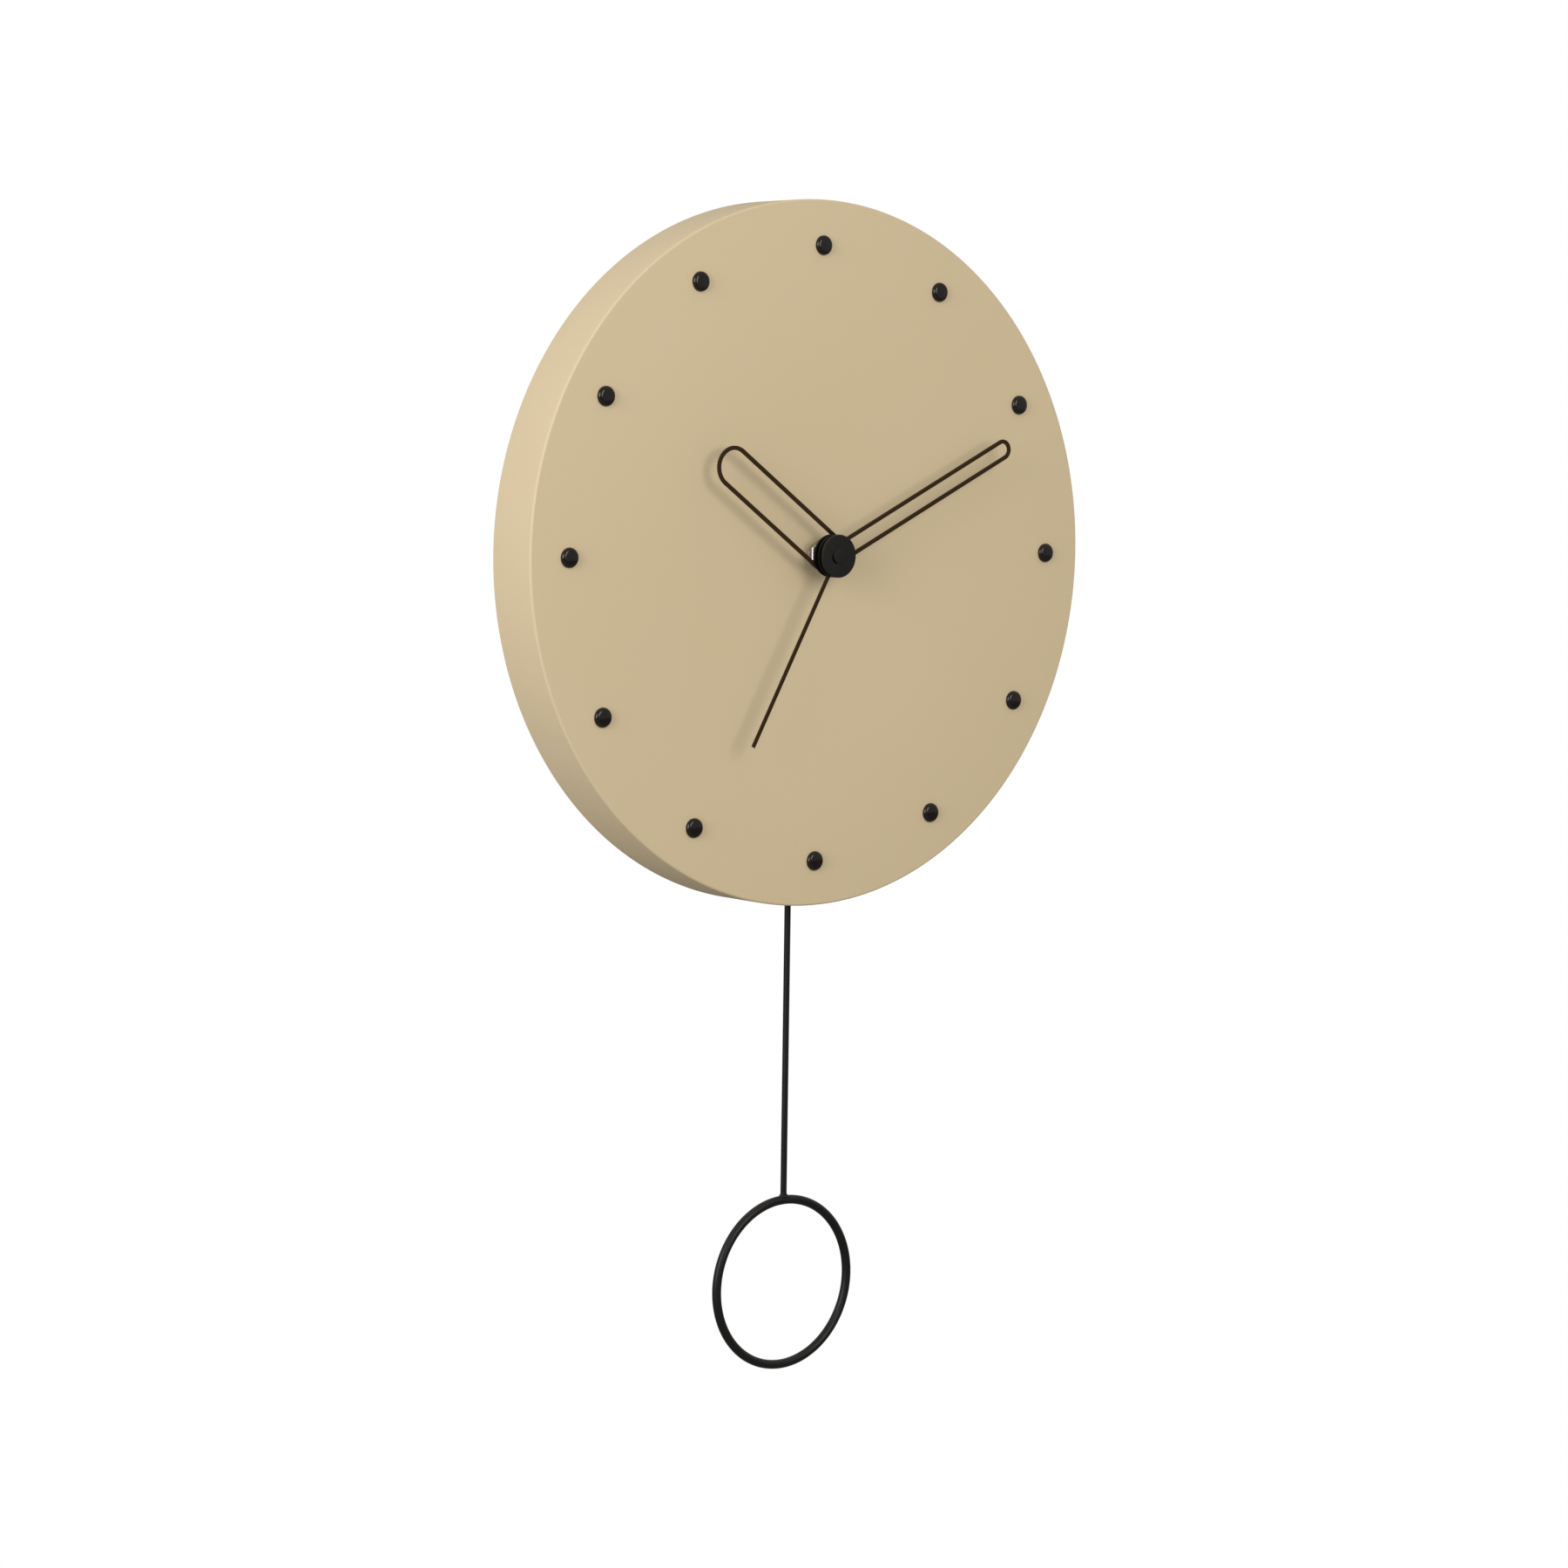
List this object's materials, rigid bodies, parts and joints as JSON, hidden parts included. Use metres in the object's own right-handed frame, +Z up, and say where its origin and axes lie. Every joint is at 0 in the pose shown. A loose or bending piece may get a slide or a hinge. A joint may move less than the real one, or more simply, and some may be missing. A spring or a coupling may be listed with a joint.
{
  "type": "pendulum wall clock",
  "caption": "Round pendulum wall clock: a hemmed pressed metal dial with domed hour studs, open loop hands on a quartz movement, and a wire ring that swings on a thin rod below.",
  "frame": {"origin": "seat of the hanging nail in plan, on the wall plane that the rear rim rests on", "axes": "+Z up, +Y into the wall, +X to the right as seen from the room"},
  "size_m": [0.25, 0.0341, 0.4212],
  "materials": {
    "case_paint": "matt powder coat",
    "stud_black": "gloss",
    "hand_paint": "satin",
    "cap_black": "satin",
    "nickel": "bright nickel plate",
    "brass": "turned",
    "rubber": "matt",
    "movement_black": "fine spark texture",
    "movement_white": "smooth",
    "gear_plastic": "smooth natural acetal",
    "zinc_steel": "zinc plate",
    "iron": "bare sheet",
    "copper_winding": "enamelled wire",
    "board": "solder mask",
    "chip_resin": "resin",
    "magnet": "sintered",
    "cell_jacket": "printed film, left plain",
    "spring_metal": "nickel plate",
    "wire_black": "satin powder coat"
  },
  "bodies": {
    "case": {"case_pan": "case_paint", "hour_marker_studs": "stud_black", "threaded_bush": "brass", "bush_washer": "nickel", "bush_nut": "nickel", "mounting_gasket": "rubber", "movement_shell": "movement_black", "movement_cover": "movement_black", "train_plate": "movement_white", "hanger_bracket": "zinc_steel", "hanger_screws": "zinc_steel", "stator_plate": "iron", "coil_core": "iron", "motor_coil": "copper_winding", "circuit_board": "board", "quartz_crystal": "zinc_steel", "clock_chip": "chip_resin", "pendulum_coil": "copper_winding", "battery_contact_positive": "spring_metal", "battery_contact_negative": "spring_metal", "arm_pivot_pin": "zinc_steel"},
    "second": {"second_wheel": "gear_plastic", "second_hand": "hand_paint", "hub_cap": "cap_black"},
    "minute": {"minute_wheel": "gear_plastic", "minute_hand": "hand_paint"},
    "hour": {"hour_wheel": "gear_plastic", "hour_hand": "hand_paint"},
    "third": {"third_wheel": "gear_plastic"},
    "minute_work": {"minute_work_wheel": "gear_plastic"},
    "setting": {"setting_stem": "gear_plastic", "setting_knob": "movement_white"},
    "intermediate": {"intermediate_wheel": "gear_plastic"},
    "rotor": {"rotor_pinion": "gear_plastic", "rotor_magnet": "magnet"},
    "pendulum": {"pendulum_arm": "movement_white", "pendulum_magnet": "magnet", "pendulum_rod": "wire_black", "pendulum_ring": "wire_black"},
    "battery": {"battery_cell": "cell_jacket"}
  },
  "joints": [
    {"name": "second_hand_turn", "type": "hinge", "parent": "case", "child": "second", "pos_m": [0, 0, -0.0535], "axis": [0, 1, 0], "continuous": true},
    {"name": "minute_hand_turn", "type": "hinge", "parent": "case", "child": "minute", "pos_m": [0, 0, -0.0535], "axis": [0, 1, 0], "continuous": true},
    {"name": "hour_hand_turn", "type": "hinge", "parent": "case", "child": "hour", "pos_m": [0, 0, -0.0535], "axis": [0, 1, 0], "continuous": true},
    {"name": "third_wheel_turn", "type": "hinge", "parent": "case", "child": "third", "pos_m": [-0.0106, 0, -0.04738], "axis": [0, 1, 0], "continuous": true},
    {"name": "minute_work_turn", "type": "hinge", "parent": "case", "child": "minute_work", "pos_m": [0.009, 0, -0.0535], "axis": [0, 1, 0], "continuous": true},
    {"name": "setting_knob_turn", "type": "hinge", "parent": "case", "child": "setting", "pos_m": [0.018, 0, -0.0535], "axis": [0, 1, 0], "continuous": true},
    {"name": "intermediate_turn", "type": "hinge", "parent": "case", "child": "intermediate", "pos_m": [-0.00431, 0, -0.06534], "axis": [0, 1, 0], "continuous": true},
    {"name": "rotor_turn", "type": "hinge", "parent": "case", "child": "rotor", "pos_m": [0.00516, 0, -0.06879], "axis": [0, 1, 0], "continuous": true},
    {"name": "pendulum_swing", "type": "hinge", "parent": "case", "child": "pendulum", "pos_m": [0, 0, -0.0455], "axis": [0, 1, 0], "range_deg": [-4.5, 4.5]},
    {"name": "battery_slide", "type": "slide", "parent": "case", "child": "battery", "axis": [0, 1, 0], "range_m": [0, 0.02]}
  ],
  "couplings": [
    {"joint": "minute_hand_turn", "follows": "second_hand_turn", "ratio": 0.016667},
    {"joint": "hour_hand_turn", "follows": "second_hand_turn", "ratio": 0.0013889},
    {"joint": "third_wheel_turn", "follows": "second_hand_turn", "ratio": -0.13333},
    {"joint": "minute_work_turn", "follows": "second_hand_turn", "ratio": -0.0055556},
    {"joint": "setting_knob_turn", "follows": "second_hand_turn", "ratio": 0.016667},
    {"joint": "intermediate_turn", "follows": "second_hand_turn", "ratio": -5},
    {"joint": "rotor_turn", "follows": "second_hand_turn", "ratio": 30}
  ]
}
